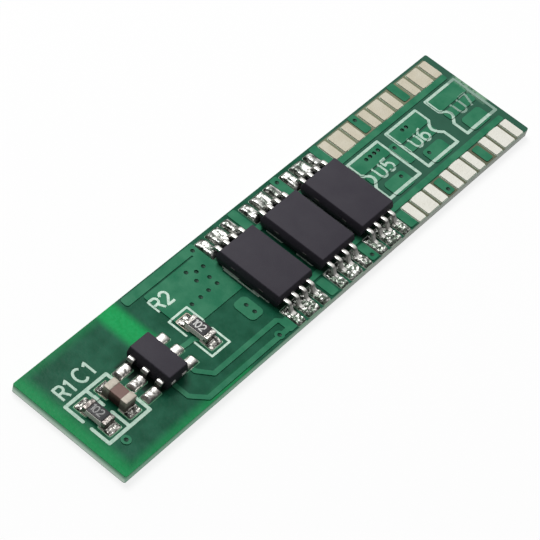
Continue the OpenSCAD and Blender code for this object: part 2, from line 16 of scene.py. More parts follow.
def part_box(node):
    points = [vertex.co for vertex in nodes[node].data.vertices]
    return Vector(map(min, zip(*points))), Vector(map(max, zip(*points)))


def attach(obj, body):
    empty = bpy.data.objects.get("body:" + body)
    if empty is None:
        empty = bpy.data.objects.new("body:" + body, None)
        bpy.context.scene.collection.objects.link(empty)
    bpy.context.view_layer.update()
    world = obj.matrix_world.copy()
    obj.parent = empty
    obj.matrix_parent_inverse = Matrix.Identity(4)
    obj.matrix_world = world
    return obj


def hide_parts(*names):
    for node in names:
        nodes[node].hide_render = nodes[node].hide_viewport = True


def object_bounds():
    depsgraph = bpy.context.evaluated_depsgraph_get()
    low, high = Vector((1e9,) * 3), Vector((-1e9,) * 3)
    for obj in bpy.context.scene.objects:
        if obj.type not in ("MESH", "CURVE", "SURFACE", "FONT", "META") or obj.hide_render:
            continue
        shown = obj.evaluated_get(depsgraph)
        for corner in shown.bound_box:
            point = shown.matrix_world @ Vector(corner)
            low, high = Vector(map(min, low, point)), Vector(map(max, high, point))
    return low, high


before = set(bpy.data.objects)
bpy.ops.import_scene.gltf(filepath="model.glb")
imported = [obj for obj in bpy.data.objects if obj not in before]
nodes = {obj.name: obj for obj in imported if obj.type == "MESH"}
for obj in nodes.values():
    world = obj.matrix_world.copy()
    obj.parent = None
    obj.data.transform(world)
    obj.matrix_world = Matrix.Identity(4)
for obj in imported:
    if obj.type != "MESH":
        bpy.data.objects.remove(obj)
cad_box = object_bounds()
MM = 0.001
print("nodes:", len(nodes), "box in mm:",
      [round(v / MM, 2) for corner in cad_box for v in corner])


def place_mm(node):
    """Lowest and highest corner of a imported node, in millimetres."""
    low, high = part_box(node)
    return low / MM, high / MM


# %% [markdown]
# ## The camera
# A camera can be placed by an angle and a distance, or by the point where it stands and the
# point where it looks. The second way keeps perspective exact, so it is used here. The
# camera is about 126 mm away, looks down at 49 degrees past the left end of the board, and
# is turned 17 degrees about its own line of sight, so the board runs up to the right.

# %% Camera
STAND = Vector((-75.496, -36.731, 95.767)) * MM
AIM = Vector((-2.071, -0.319, 0.63)) * MM
CAMERA_TURN, SENSOR_WIDTH, FOCAL_LENGTH = 16.98, 36.0, 156.265
lens = bpy.data.cameras.new("camera")
lens.sensor_width, lens.lens = SENSOR_WIDTH, FOCAL_LENGTH
lens.clip_start, lens.clip_end = 0.01, 20.0
camera = bpy.data.objects.new("camera", lens)
bpy.context.scene.collection.objects.link(camera)
bpy.context.scene.view_settings.view_transform = "Standard"
sight = (AIM - STAND).to_track_quat("-Z", "Y").to_matrix()
camera.matrix_world = Matrix.Translation(STAND) @ (
    sight @ Matrix.Rotation(math.radians(CAMERA_TURN), 3, "Z")).to_4x4()
bpy.context.scene.camera = camera
print("camera distance in mm:", round((AIM - STAND).length / MM, 1))

# %% [markdown]
# ## Light
# A light tent gives pale light with hardly a shadow. It can be copied with many lamps, or
# with one wide lamp high over the far side and a pale world round it. The
# second way has less noise. The world is white to the camera, and weaker as light, so the
# background does not decide how bright the board is. The side where the camera stands is
# darker, as a room is, so the near faces are dark and the metal has its black specks.

# %% World and lamps
WORLD_LIGHT, LIGHT_FROM_BELOW = 0.36, 0.85
BRIGHT_SIDE = (0.56, 0.28, 0.78)
world = bpy.data.worlds.new("light_tent")
bpy.context.scene.world = world
world.use_nodes = True
sky = world.node_tree


def sky_node(kind, operation, *inputs):
    """A node of the world; inputs are numbers, vectors or other outputs."""
    made = sky.nodes.new(kind)
    if operation:
        made.operation = operation
    for socket, value in zip(made.inputs, inputs):
        if isinstance(value, bpy.types.NodeSocket):
            sky.links.new(value, socket)
        else:
            socket.default_value = value
    return made.outputs


path = sky_node("ShaderNodeLightPath", None)
toward = sky_node("ShaderNodeTexCoord", None)["Generated"]
facing = sky_node("ShaderNodeVectorMath", "DOT_PRODUCT", toward, BRIGHT_SIDE)["Value"]
tent = sky_node("ShaderNodeMapRange", None, facing, 0.30, 0.86, 0.06, 1.0)[0]
mirrored = sky_node("ShaderNodeMath", "MAXIMUM", path["Is Glossy Ray"],
                    path["Is Transmission Ray"])[0]
reflected = sky_node("ShaderNodeMath", "MULTIPLY", mirrored, tent)[0]
shown = sky_node("ShaderNodeMath", "MAXIMUM", path["Is Camera Ray"], reflected)[0]
plain = sky_node("ShaderNodeMath", "SUBTRACT", 1.0, sky_node(
    "ShaderNodeMath", "MAXIMUM", path["Is Camera Ray"], mirrored)[0])[0]
around = sky_node("ShaderNodeMapRange", None, facing, -0.5, 0.9, 0.35 * WORLD_LIGHT,
                  1.5 * WORLD_LIGHT)[0]
level = sky_node("ShaderNodeMath", "MULTIPLY_ADD", plain, around, shown)[0]
height = sky_node("ShaderNodeSeparateXYZ", None, toward)[2]
under = sky_node("ShaderNodeMath", "LESS_THAN", height, 0.0)[0]
level = sky_node("ShaderNodeMath", "MAXIMUM", level, sky_node(
    "ShaderNodeMath", "MULTIPLY", under, LIGHT_FROM_BELOW)[0])[0]
sky.nodes["Background"].inputs["Color"].default_value = (1.0, 1.0, 1.0, 1.0)
sky.links.new(level, sky.nodes["Background"].inputs["Strength"])


def lamp(name, place, aim, size, watts):
    """A square soft lamp at a place, in millimetres, that points at another."""
    light = bpy.data.lights.new(name, "AREA")
    light.shape, light.size, light.energy = "SQUARE", size * MM, watts
    hung = bpy.data.objects.new(name, light)
    bpy.context.scene.collection.objects.link(hung)
    hung.location = Vector(place) * MM
    hung.rotation_euler = (Vector(aim) - Vector(place)).to_track_quat("-Z", "Y").to_euler()


lamp("window", (95, 215, 400), (0, 0, 0), 220, 1.6)

# %% [markdown]
# ## Shader maths in plain words
# A finish is a network of nodes, and a network is hard to read as a list of links. A small
# class that stands for one output and knows how to add, subtract and multiply lets each
# finish be written as a formula. Another class holds one finish and makes any other node.


# %% Wire and Finish
class Wire:
    """One output of a node, used like a number."""

    def __init__(self, finish, socket):
        self.finish, self.socket = finish, socket

    def math(self, operation, first, second=0.0):
        return self.finish.node("ShaderNodeMath", {"operation": operation},
                                {0: first, 1: second})

    def __add__(self, other):
        return self.math("ADD", self, other)

    def __radd__(self, other):
        return self.math("ADD", other, self)

    def __sub__(self, other):
        return self.math("SUBTRACT", self, other)

    def __rsub__(self, other):
        return self.math("SUBTRACT", other, self)

    def __mul__(self, other):
        return self.math("MULTIPLY", self, other)

    def __rmul__(self, other):
        return self.math("MULTIPLY", other, self)

    def least(self, other):
        return self.math("MINIMUM", self, other)

    def most(self, other):
        return self.math("MAXIMUM", self, other)

    def rise(self, start, end):
        """0 before start, 1 after end, with a smooth rise between."""
        turned = start > end
        mask = self.finish.node(
            "ShaderNodeMapRange", {"interpolation_type": "SMOOTHSTEP"},
            {"Value": self, "From Min": min(start, end), "From Max": max(start, end)})
        return 1 - mask if turned else mask


class Finish:
    """One material, built from formulas."""

    def __init__(self, name):
        self.material = bpy.data.materials.new(name)
        self.material.use_nodes = True
        self.tree = self.material.node_tree
        self.shader = self.tree.nodes["Principled BSDF"]
        spot = self.node("ShaderNodeTexCoord", output="Object")
        self.spot = self.node("ShaderNodeVectorMath", {"operation": "SCALE"},
                              {0: spot, "Scale": 1 / MM})
        parts = self.tree.nodes.new("ShaderNodeSeparateXYZ")
        self.tree.links.new(self.spot.socket, parts.inputs[0])
        self.x, self.y, self.z = (Wire(self, out) for out in parts.outputs)

    def node(self, kind, settings=None, sockets=None, output=0):
        """Any node: its settings first, then the values or links of its sockets."""
        made = self.tree.nodes.new(kind)
        for name, value in (settings or {}).items():
            setattr(made, name, value)
        for name, value in (sockets or {}).items():
            if isinstance(value, Wire):
                self.tree.links.new(value.socket, made.inputs[name])
            else:
                made.inputs[name].default_value = value
        return Wire(self, made.outputs[output])

    def blend(self, share, low, high):
        """A colour that goes from low to high as share goes from 0 to 1."""
        low, high = (c if isinstance(c, Wire) else (*c, 1.0) for c in (low, high))
        return self.node("ShaderNodeMix", {"data_type": "RGBA"},
                         {0: share, 6: low, 7: high}, output=2)

    def grain(self, per_mm, detail=2.0, stretch=(1.0, 1.0, 1.0), shift=0.0):
        """Soft noise between 0 and 1, with that many lumps in a millimetre."""
        moved = self.node("ShaderNodeMapping", {},
                          {"Vector": self.spot, "Scale": stretch, "Location": (shift,) * 3})
        return self.node("ShaderNodeTexNoise", {},
                         {"Vector": moved, "Scale": per_mm, "Detail": detail})

    def bump(self, height, depth_mm):
        return self.node("ShaderNodeBump", {}, {"Height": height, "Strength": 1.0,
                                                "Distance": depth_mm * MM})

    def surface(self, **sockets):
        """Sets the shader's own sockets, with underscores for the spaces in their names."""
        for name, value in sockets.items():
            target = self.shader.inputs[name.replace("_", " ")]
            if isinstance(value, Wire):
                self.tree.links.new(value.socket, target)
            else:
                target.default_value = (*value, 1.0) if isinstance(value, tuple) else value
        return self

    def on(self, *names):
        """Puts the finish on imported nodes, through the slots that they have."""
        for name in names:
            for place in nodes[name].material_slots:
                place.material = self.material
        return self


print("nodes that wait for a finish:", len(nodes))

# %% [markdown]
# ## The floor
# The board lies on white paper. A white surface under soft light comes out just under
# white, so the camera adds a little to the paper, and the shadow beside the board stays.
# From below the paper is clear, and it has a window under the board, a little smaller than
# the board, so that the underside is lit when it is looked at.

# %% Floor
PAPER_GREY, PAPER_GLOW, WINDOW_RIM = 0.18, 0.80, 0.03
bpy.ops.object.select_all(action="DESELECT")
bpy.ops.mesh.primitive_grid_add(x_subdivisions=3, y_subdivisions=3, size=3.0,
                                location=(0, 0, -0.02 * MM))
floor = bpy.context.object
floor.name = "floor"
bpy.ops.object.transform_apply(location=True, rotation=True, scale=True)
window = (cad_box[1].x - WINDOW_RIM * MM, cad_box[1].y - WINDOW_RIM * MM)
for vertex in floor.data.vertices:
    if abs(vertex.co.x) < 1.0:
        vertex.co.x = math.copysign(window[0], vertex.co.x)
    if abs(vertex.co.y) < 1.0:
        vertex.co.y = math.copysign(window[1], vertex.co.y)
bpy.ops.object.mode_set(mode="EDIT")
bpy.ops.mesh.select_mode(type="FACE")
bpy.ops.mesh.select_all(action="DESELECT")
bpy.ops.object.mode_set(mode="OBJECT")
for face in floor.data.polygons:
    face.select = face.center.length < MM
bpy.ops.object.mode_set(mode="EDIT")
bpy.ops.mesh.delete(type="FACE")
bpy.ops.object.mode_set(mode="OBJECT")
paper = Finish("white_paper")
paper.surface(Base_Color=(PAPER_GREY,) * 3, Roughness=0.9, Specular_IOR_Level=0.1)
light_path = paper.node("ShaderNodeLightPath", output="Is Camera Ray")
glow = paper.node("ShaderNodeEmission", {},
                  {"Color": (1, 1, 1, 1), "Strength": light_path * PAPER_GLOW})
lit = paper.node("ShaderNodeAddShader", {},
                 {0: Wire(paper, paper.shader.outputs[0]), 1: glow})
back = paper.node("ShaderNodeNewGeometry", output="Backfacing")
clear = paper.node("ShaderNodeBsdfTransparent")
shown = paper.node("ShaderNodeMixShader", {}, {0: back, 1: lit, 2: clear})
paper.tree.links.new(shown.socket, paper.tree.nodes["Material Output"].inputs["Surface"])
floor.data.materials.append(paper.material)
print("floor at z =", round(floor.data.vertices[0].co.z / MM, 2), "mm")

# %% [markdown]
# ## Solder mask
# Solder mask is a thin green lacquer. Over copper it looks lighter and greyer, over bare
# glass cloth it looks darker, and where both foils are gone light comes through it and it
# turns a bright leaf green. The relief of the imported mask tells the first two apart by
# height alone. The clear places are named strips. Fine ripples in the gloss keep it from
# looking like a flat sheet.

# %% Upper mask
board_low, board_high = place_mm("core")
foil_low, foil_high = place_mm("bottom_copper")
plus_low, plus_high = place_mm("cell_plus_tin")
chip_low, chip_high = place_mm("chip_body")
spare_low, spare_high = place_mm("spare_tin_1")[0], place_mm("spare_tin_3")[1]
mask_top = place_mm("top_mask")[1].z
FOIL = 0.05
PAST_END, PAST_SIDE = 20, 5


def strip(finish, x0, x1, y0, y1, soft):
    """1 inside a strip of the board, given by its limits, and 0 outside."""
    across = finish.x.rise(x0 - soft, x0 + soft).least(finish.x.rise(x1 + soft, x1 - soft))
    along = finish.y.rise(y0 - soft, y0 + soft).least(finish.y.rise(y1 + soft, y1 - soft))
    return across.least(along)


mask = Finish("solder_mask_upper")
raised = mask.z.rise(mask_top - 0.9 * FOIL, mask_top - 0.1 * FOIL)
clear_gap = strip(mask, plus_high.x + 0.85, plus_high.x + 2.25, 0.9, PAST_SIDE, 0.35)
clear_end = strip(mask, -PAST_END, foil_low.x - 0.05, -PAST_SIDE, PAST_SIDE, 0.50) * 0.62
clear_far = strip(mask, -PAST_END, plus_high.x + 1.9, foil_high.y - 0.15, PAST_SIDE, 0.4) * 0.4
clear_near = strip(mask, -PAST_END, plus_high.x + 4.5, -PAST_SIDE, foil_low.y + 0.25,
                   0.35) * 0.5
clear_all = clear_end.most(clear_gap).most(clear_far).most(clear_near) * (1 - raised)
cloud = mask.grain(1.1, 3.0)
fleck = mask.grain(6.0, 2.0, shift=5.0)
dark = mask.blend(cloud.rise(0.3, 0.7), (0.004, 0.068, 0.034), (0.012, 0.100, 0.055))
light = mask.blend(cloud.rise(0.25, 0.75), (0.016, 0.150, 0.075), (0.040, 0.200, 0.108))
bright = mask.blend(fleck.rise(0.2, 0.8), (0.003, 0.28, 0.070), (0.008, 0.33, 0.092))
spare_end = mask.x.rise(5.5, 8.0)
dark = mask.blend(spare_end * 0.7, dark, (0.034, 0.106, 0.070))
green = mask.blend(clear_all, mask.blend(raised, dark, light), bright)
ripple = mask.bump(fleck + cloud * 2, 0.006)
mask.surface(Roughness=0.24 + cloud * 0.10, Specular_IOR_Level=0.08, Normal=ripple)

# The bare web between lands darkens the mask in named strips, and near-black strips beside and
# between the leads are painted shade that also stands for flux residue
web = strip(mask, spare_low.x, spare_high.x, spare_low.y - 0.1, spare_low.y + 1.35, 0.05)
web_far = strip(mask, spare_low.x, spare_high.x, spare_high.y - 1.35, spare_high.y + 0.1,
                0.05)
green = mask.blend(web * (1 - raised) * 0.75, green, (0.15, 0.135, 0.085))
green = mask.blend(web_far * (1 - raised) * 0.6, green, (0.30, 0.27, 0.17))
# Painted shade: near-black strips left of the chip and along the transistors' lead rows, also
# standing for flux residue
flux_and_shade = strip(mask, chip_low.x - 0.75, chip_low.x + 0.4, chip_low.y + 0.15, chip_high.y, 0.14)
for i in (1, 2, 3):
    low, high = place_mm(f"fet_body_{i}")
    flux_and_shade = flux_and_shade.most(strip(mask, low.x + 0.2, high.x - 0.2, low.y - 0.75, low.y + 0.3, 0.14))
    flux_and_shade = flux_and_shade.most(strip(mask, low.x + 0.2, high.x - 0.2, high.y - 0.3, high.y + 0.5, 0.14))
green = mask.blend(flux_and_shade * 0.9, green, (0.006, 0.010, 0.008))
worn = strip(mask, spare_high.x + 0.05, PAST_END, -0.8, 1.6, 0.18) * fleck.rise(0.25, 0.6)
green = mask.blend(worn * 0.55, green, (0.34, 0.56, 0.38))
mask.surface(Base_Color=green)
mask.on("top_mask")
print("mask top at", round(mask_top, 3), "mm")

# %% Lower mask
lower = Finish("solder_mask_lower")
over_copper = lower.z.rise(0.024, 0.012)
cloud = lower.grain(1.4, 3.0)
green = lower.blend(over_copper, (0.008, 0.085, 0.045),
                    lower.blend(cloud, (0.024, 0.14, 0.072), (0.04, 0.20, 0.10)))
lower.surface(Base_Color=green, Roughness=0.30 + cloud * 0.12, Specular_IOR_Level=0.22,
              Normal=lower.bump(cloud, 0.006)).on("bottom_mask")

# %% [markdown]
# ## Glass epoxy
# The cut edge of the board shows the laminate: pale layers of glass cloth in resin, with a
# green tinge from the mask above. Thin stretched noise gives the layers, and finer noise the
# ends of the fibres. The edge has a painted glow, an emission that stands in for light
# soaking through the cloth and leaving at the cut.

# %% Board edge
laminate = Finish("glass_epoxy_edge")
layers = laminate.grain(2.2, 3.0, stretch=(1.0, 1.0, 9.0))
fibres = laminate.grain(14.0, 2.0, stretch=(1.0, 1.0, 0.35))
sheet = laminate.blend(layers.rise(0.35, 0.65), (0.66, 0.74, 0.64), (0.80, 0.88, 0.78))
sheet = laminate.blend(fibres.rise(0.55, 0.8) * 0.5, sheet, (0.88, 0.92, 0.84))
near_end = laminate.x.rise(4.0, -8.0)
sheet = laminate.blend(near_end * 0.6, sheet, (0.55, 0.88, 0.68))
under_mask = laminate.z.rise(board_high.z - 0.30, board_high.z)
sheet = laminate.blend(under_mask * (0.5 + near_end * 0.4), sheet, (0.14, 0.36, 0.19))
end_face = laminate.x.rise(board_low.x + 0.06, board_low.x + 0.01)
# Painted glow: the edge emits light of its own, greener near the left end and paler low on the
# end face
glow = laminate.blend(near_end, (0.24, 0.24, 0.23), (0.09, 0.28, 0.17))
glow = laminate.blend(end_face * laminate.z.rise(0.50, 0.15), glow, (0.62, 0.74, 0.64))
laminate.surface(Base_Color=sheet, Roughness=0.62, Specular_IOR_Level=0.3,
                 Emission_Color=glow, Emission_Strength=0.35,
                 Normal=laminate.bump(fibres + layers, 0.012)).on("core")

# %% [markdown]
# ## Copper, tin and lead metal
# The lower foil is bare copper at its edges. The lands are levelled tin, which looks cream
# and satin, more like paint than like a mirror. Leads have a bright, drawn look where they
# leave the body, and the transistors' leads are duller lower down. Uneven roughness keeps
# each metal from looking new.

# %% Copper
foil = Finish("copper_foil")
stain = foil.grain(6.0, 3.0)
foil.surface(Base_Color=foil.blend(stain, (0.30, 0.20, 0.11), (0.55, 0.36, 0.20)),
             Metallic=0.9, Roughness=0.42 + stain * 0.15)
foil.on("bottom_copper")

# %% Vias
tented = Finish("tented_via")
stain = tented.grain(9.0, 2.0)
tented.surface(Base_Color=tented.blend(stain, (0.004, 0.016, 0.010), (0.012, 0.040, 0.024)),
               Roughness=0.45 + stain * 0.2, Specular_IOR_Level=0.2).on("via_barrels")

# %% Levelled tin
tin = Finish("levelled_tin")
cloud = tin.grain(1.1, 3.0)
pits = tin.grain(11.0, 2.0, shift=3.0)
far_row = tin.y.rise(-0.5, 0.5) * tin.z.rise(0.2, 0.4)
cream = tin.blend(far_row, (0.68, 0.67, 0.60), (0.52, 0.48, 0.375))
pale = tin.blend(far_row, (0.76, 0.75, 0.70), (0.60, 0.57, 0.48))
cream = tin.blend(cloud.rise(0.4, 0.75) * 0.5, cream, pale)
cream = tin.blend(pits.rise(0.58, 0.75) * 0.35, cream, (0.46, 0.41, 0.34))
tin.surface(Base_Color=cream, Metallic=0.12, Specular_IOR_Level=0.2,
            Roughness=0.42 + pits * 0.16, Normal=tin.bump(pits + cloud * 2, 0.012))
tin.on("top_pours", "top_traces", "top_lands", "cell_plus_tin", "output_minus_tin",
       "cell_minus_tin", "spare_tin_1", "spare_tin_2", "spare_tin_3")

# %% Lead metal
drawn = Finish("lead_frame_metal")
streak = drawn.grain(9.0, 2.0, stretch=(1.0, 0.4, 1.0))
drop = drawn.z.rise(1.16, 1.04)
drawn.surface(Base_Color=drawn.blend(streak, (0.48, 0.47, 0.44), (0.70, 0.69, 0.66)),
              Metallic=1.0 - drop * 0.75, Roughness=0.24 + streak * 0.14,
              Normal=drawn.bump(streak, 0.008))
drawn.on(*[n for n in nodes if "_leads_" in n])
# The chip's cut tie bars are pale and dull: cut metal with a painted glint on the shaded end of
# the body
shorn = Finish("cut_metal_painted_glint")
streak = shorn.grain(12.0, 2.0)
shorn.surface(Base_Color=shorn.blend(streak, (0.55, 0.53, 0.50), (0.85, 0.83, 0.80)),
              Metallic=0.25, Roughness=0.4 + streak * 0.2).on("chip_tie_bars")
bent = Finish("lead_metal_of_chip")
streak = bent.grain(9.0, 2.0, stretch=(0.4, 1.0, 1.0))
# Painted shade: the steep drop of each chip lead is painted near-black
drop = bent.z.rise(0.74, 0.84).least(bent.z.rise(1.20, 1.12))
metal = bent.blend(streak, (0.56, 0.55, 0.52), (0.74, 0.73, 0.70))
bent.surface(Base_Color=bent.blend(drop * 0.85, metal, (0.02, 0.02, 0.02)),
             Metallic=1.0, Roughness=0.24 + streak * 0.14, Normal=bent.bump(streak, 0.008))
bent.on(*[n for n in nodes if n.startswith("chip_lead")])
# Painted shade: the transistors' cut tie bars are near-black, so they sink into the dark side
# faces
cut = Finish("cut_metal_painted_shade")
streak = cut.grain(12.0, 2.0)
cut.surface(Base_Color=cut.blend(streak, (0.010, 0.009, 0.010), (0.030, 0.028, 0.028)),
            Metallic=0.3, Roughness=0.45 + streak * 0.2)
cut.on("fet_tie_bars_1", "fet_tie_bars_2", "fet_tie_bars_3")
print("lead nodes:", len([n for n in nodes if "lead" in n]))

# %% [markdown]
# ## Solder finishes
# All solder is one metal, but it looks different where it cooled differently: grainy on the
# near rows, broad and patchy on the far rows, and smooth under the chip. Its dull lumps are
# partly grain and partly painted dark reflection of the board and bodies round it, and the
# fillets of the small parts are darkest. One formula with other numbers gives all four.

# %% Solder


def solder_finish(name, per_mm, spread, dull_grain_and_reflection, bright_metal, rough, depth):
    """Bright metal with duller lumps of grain and painted dark reflection; spread is where the
    dull share starts and ends.
    """
    made = Finish(name)
    lumps = made.grain(per_mm, 3.0)
    grit = made.grain(per_mm * 3, 2.0, shift=2.0)
    metal = made.blend(lumps.rise(*spread), dull_grain_and_reflection, bright_metal)
    return made.surface(Base_Color=metal, Metallic=1.0, Roughness=rough + grit * 0.2,
                        Normal=made.bump(lumps * 2 + grit, depth))


# The dark shares, greenish on the rows, are painted dark reflection as well as grain
grainy = solder_finish("grainy_solder", 5.0, (0.46, 0.62), (0.12, 0.15, 0.12),
                       (0.68, 0.68, 0.64), 0.20, 0.026)
smooth = solder_finish("smooth_solder", 2.2, (0.30, 0.50), (0.34, 0.33, 0.31),
                       (0.78, 0.76, 0.72), 0.26, 0.015)
broad = solder_finish("broad_solder", 2.8, (0.40, 0.58), (0.10, 0.115, 0.10),
                      (0.56, 0.56, 0.53), 0.24, 0.022)
fillet = solder_finish("fillet_solder", 3.6, (0.40, 0.60), (0.06, 0.06, 0.055),
                       (0.52, 0.51, 0.47), 0.16, 0.03)
for node in nodes:
    if "solder" in node:
        (broad if "far" in node else smooth if "chip" in node else
         grainy if "near" in node else fillet).on(node)
print("solder finishes: 4")

# %% [markdown]
# ## Moulding compound
# The bodies are black epoxy with a fine matte skin from the mould. It is not pure black but
# a violet grey, a little paler where the skin is worn. Very fine noise gives the skin, and
# slow noise the uneven shade.

# %% Moulding
moulding = Finish("moulding_compound")
skin = moulding.grain(22.0, 3.0)
slow = moulding.grain(0.9, 2.0, shift=1.0)
shade = moulding.blend(slow, (0.026, 0.022, 0.032), (0.040, 0.036, 0.046))
shade = moulding.blend(skin.rise(0.55, 0.8) * 0.35, shade, (0.075, 0.07, 0.085))
moulding.surface(Base_Color=shade, Roughness=0.52 + skin * 0.16, Specular_IOR_Level=0.18,
                 Normal=moulding.bump(skin, 0.01))
body_nodes = [n for n in nodes if n.startswith("fet_body") or n == "chip_body"]
moulding.on(*body_nodes)

# %% [markdown]
# ## Small parts
# A chip resistor is white alumina with a dark glaze on top and tinned ends. The capacitor is
# a block of fired brown ceramic with tinned ends, with painted shade low down on its sides.

# %% Small part finishes
alumina = Finish("white_alumina")
chalk = alumina.grain(8.0, 2.0)
alumina.surface(Base_Color=alumina.blend(chalk, (0.62, 0.60, 0.56), (0.80, 0.78, 0.73)),
                Roughness=0.45 + chalk * 0.1).on("resistor_1_base", "resistor_2_base")
glaze = Finish("resistor_glaze")
cloud = glaze.grain(5.0, 2.0)
glaze.surface(Base_Color=glaze.blend(cloud, (0.012, 0.012, 0.014), (0.028, 0.028, 0.032)),
              Roughness=0.36 + cloud * 0.15, Specular_IOR_Level=0.25,
              Normal=glaze.bump(cloud, 0.01))
glaze.on("resistor_1_glaze", "resistor_2_glaze")
plated = Finish("plated_ends")
dents = plated.grain(7.0, 3.0)
# The dark share of the caps is dents and painted dark reflection
silver = plated.blend(dents.rise(0.35, 0.65), (0.10, 0.095, 0.09), (0.54, 0.52, 0.48))
stained = plated.x.rise(-12.0, -14.0) * 0.6
plated.surface(Base_Color=plated.blend(stained, silver, (0.09, 0.07, 0.065)),
               Metallic=0.9, Roughness=0.22 + dents * 0.2, Normal=plated.bump(dents, 0.03))
plated.on("resistor_1_ends", "resistor_2_ends")
creamy = Finish("plated_capacitor_ends")
dents = creamy.grain(5.0, 3.0)
# Painted shade: the caps are darker towards the bottom
shadowed = creamy.z.rise(1.36, 0.95) * 0.85
worn_cream = creamy.blend(dents, (0.28, 0.24, 0.20), (0.50, 0.47, 0.40))
creamy.surface(Base_Color=creamy.blend(shadowed, worn_cream, (0.075, 0.055, 0.05)),
               Metallic=0.25, Roughness=0.4 + dents * 0.2, Specular_IOR_Level=0.3,
               Normal=creamy.bump(dents, 0.02)).on("capacitor_ends")
ceramic = Finish("capacitor_ceramic")
cloud = ceramic.grain(3.5, 3.0)
fired = ceramic.blend(cloud, (0.15, 0.085, 0.072), (0.22, 0.135, 0.118))
# Painted shade: the ceramic is darker towards the bottom
shadowed = ceramic.z.rise(1.36, 0.95) * 0.9
ceramic.surface(Base_Color=ceramic.blend(shadowed, fired, (0.022, 0.008, 0.009)),
                Roughness=0.4 + cloud * 0.15, Specular_IOR_Level=0.2,
                Normal=ceramic.bump(cloud, 0.01))
ceramic.on("capacitor_body")

# %% [markdown]
# ## Legend ink
# The printed frames are pale mint ink, thin enough for the green to show through where the
# print is weak. Noise decides where it is weak.

# %% Legend ink
ink = Finish("legend_ink")
weak = ink.grain(4.5, 3.0, shift=7.0)
ink_green = ink.blend(weak.rise(0.42, 0.72) * 0.6, (0.60, 0.76, 0.65), (0.26, 0.46, 0.35))
ink_green = ink.blend(ink.x.rise(-12.0, -13.0) * 0.25, ink_green, (0.10, 0.24, 0.17))
rubbed = strip(ink, 15.0, 17.15, -0.9, 0.8, 0.05)
rubbed = rubbed.most(strip(ink, 16.85, PAST_END, -PAST_SIDE, PAST_SIDE, 0.1))
ink_green = ink.blend(rubbed * 0.75, ink_green, (0.13, 0.22, 0.17))
ink_green = ink.blend(ink.x.rise(4.0, 6.0) * 0.35, ink_green, (0.20, 0.34, 0.27))
ink.surface(Base_Color=ink_green, Roughness=0.55, Specular_IOR_Level=0.2,
            Normal=ink.bump(weak, 0.006)).on("legend")
code_ink = Finish("value_code_ink")
weak = code_ink.grain(9.0, 2.0)
smudged = code_ink.x.rise(-11.0, -13.0)
code_grey = code_ink.blend(smudged * 0.8, (0.62, 0.62, 0.60), (0.16, 0.16, 0.16))
code_ink.surface(Base_Color=code_ink.blend(weak.rise(0.45, 0.75) * 0.6, code_grey,
                                           (0.10, 0.10, 0.10)), Roughness=0.5)

# %% [markdown]
# ## Moulded bodies
# A moulded body is pressed in two half moulds, so its sides lean in above and below the
# line where the leads come out, and its corners are soft. A block with one cut round its
# middle, its top and bottom drawn in, and a bevel on every edge gives that shape. The
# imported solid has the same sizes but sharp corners, so the rounded body stands for it.


# %% Helpers for modelling
def start(name):
    """Names the piece that was just made or joined."""
    piece = bpy.context.object
    piece.name = piece.data.name = name
    return piece


def only(piece):
    bpy.ops.object.select_all(action="DESELECT")
    piece.select_set(True)
    bpy.context.view_layer.objects.active = piece


def settle(piece):
    """Puts the piece's place into its mesh, so its object sits at the origin."""
    only(piece)
    bpy.ops.object.transform_apply(location=True, rotation=True, scale=True)
    return piece


def modify(piece, kind, **values):
    """Adds a modifier with these values and applies it."""
    only(piece)
    step = piece.modifiers.new(kind.lower(), kind)
    for name, value in values.items():
        setattr(step, name, value)
    bpy.ops.object.modifier_apply(modifier=step.name)
    return piece


def shaded(piece, degrees=40):
    only(piece)
    bpy.ops.object.shade_smooth_by_angle(angle=math.radians(degrees))
    return piece


def dress(piece, finish, slot, *replaced):
    """Gives a finished piece its material, its body and the nodes that it stands for."""
    piece.data.materials.clear()
    piece.data.materials.append(finish.material)
    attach(piece, "root")
    if replaced:
        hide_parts(*replaced)
    return piece


def joined(pieces, name):
    """Joins the pieces into the first of them."""
    bpy.ops.object.select_all(action="DESELECT")
    for piece in pieces:
        piece.select_set(True)
    bpy.context.view_layer.objects.active = pieces[0]
    if len(pieces) > 1:
        bpy.ops.object.join()
    return start(name)


# %% Moulded bodies
def moulded_body(node, draft, soft):
    """A rounded body with the outer size of a packed one."""
    low, high = place_mm(node)
    size, middle = high - low, (low + high) / 2
    bpy.ops.object.select_all(action="DESELECT")
    bpy.ops.mesh.primitive_cube_add(size=1.0, location=middle * MM, scale=size * MM)
    body = settle(start("moulded_" + node))
    bpy.ops.object.mode_set(mode="EDIT")
    bpy.ops.mesh.select_all(action="SELECT")
    bpy.ops.mesh.bisect(plane_co=middle * MM, plane_no=(0, 0, 1))
    bpy.ops.mesh.select_all(action="DESELECT")
    bpy.ops.object.mode_set(mode="OBJECT")
    for side in (-1, 1):
        for vertex in body.data.vertices:
            vertex.select = side * (vertex.co.z - middle.z * MM) > 0.3 * size.z * MM
        bpy.ops.object.mode_set(mode="EDIT")
        bpy.ops.mesh.select_mode(type="VERT")
        bpy.ops.transform.resize(
            value=(1 - 2 * draft / size.x, 1 - 2 * draft / size.y, 1.0),
            center_override=middle * MM)
        bpy.ops.mesh.select_all(action="DESELECT")
        bpy.ops.object.mode_set(mode="OBJECT")
    modify(body, "BEVEL", width=soft * MM, segments=3, limit_method="ANGLE",
           angle_limit=math.radians(10))
    return shaded(body)


for i in (1, 2, 3):
    dress(moulded_body(f"fet_body_{i}", 0.11, 0.055), moulding, "moulding", f"fet_body_{i}")
dress(moulded_body("chip_body", 0.08, 0.07), moulding, "moulding", "chip_body")
print("moulded bodies: 4")

